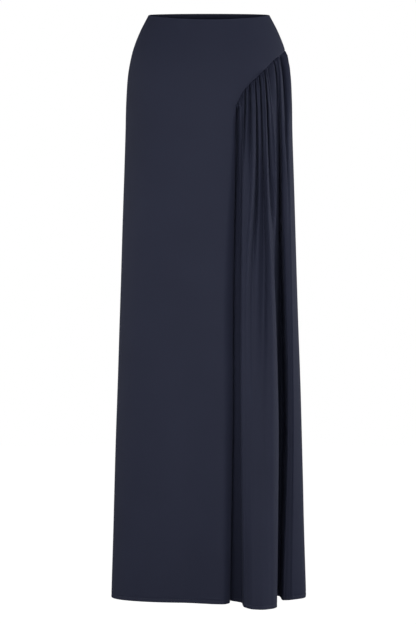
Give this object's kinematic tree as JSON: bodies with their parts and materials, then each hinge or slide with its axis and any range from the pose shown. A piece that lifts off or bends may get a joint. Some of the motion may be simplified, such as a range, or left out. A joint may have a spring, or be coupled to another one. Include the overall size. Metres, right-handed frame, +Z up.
{
  "type": "gathered maxi skirt garment",
  "caption": "Long pull-on jersey skirt, worn shape, with a slanted hip seam that carries a gathered, deeply folded side panel to the hem.",
  "frame": {"origin": "middle of the waist opening, at the height of the waist edge at the sides", "axes": "+Z up through the waist, -Y the way the front faces, +X to the wearer's left, where the gathered panel falls"},
  "size_m": [0.3727, 0.2431, 1.1188],
  "materials": {
    "navy_jersey": "matte fine jersey with a soft sheen on its folds",
    "navy_thread": "matte sewing thread"
  },
  "bodies": {
    "root": {"front_panel": "navy_jersey", "gathered_panel": "navy_jersey", "back_panel": "navy_jersey"}
  },
  "joints": []
}
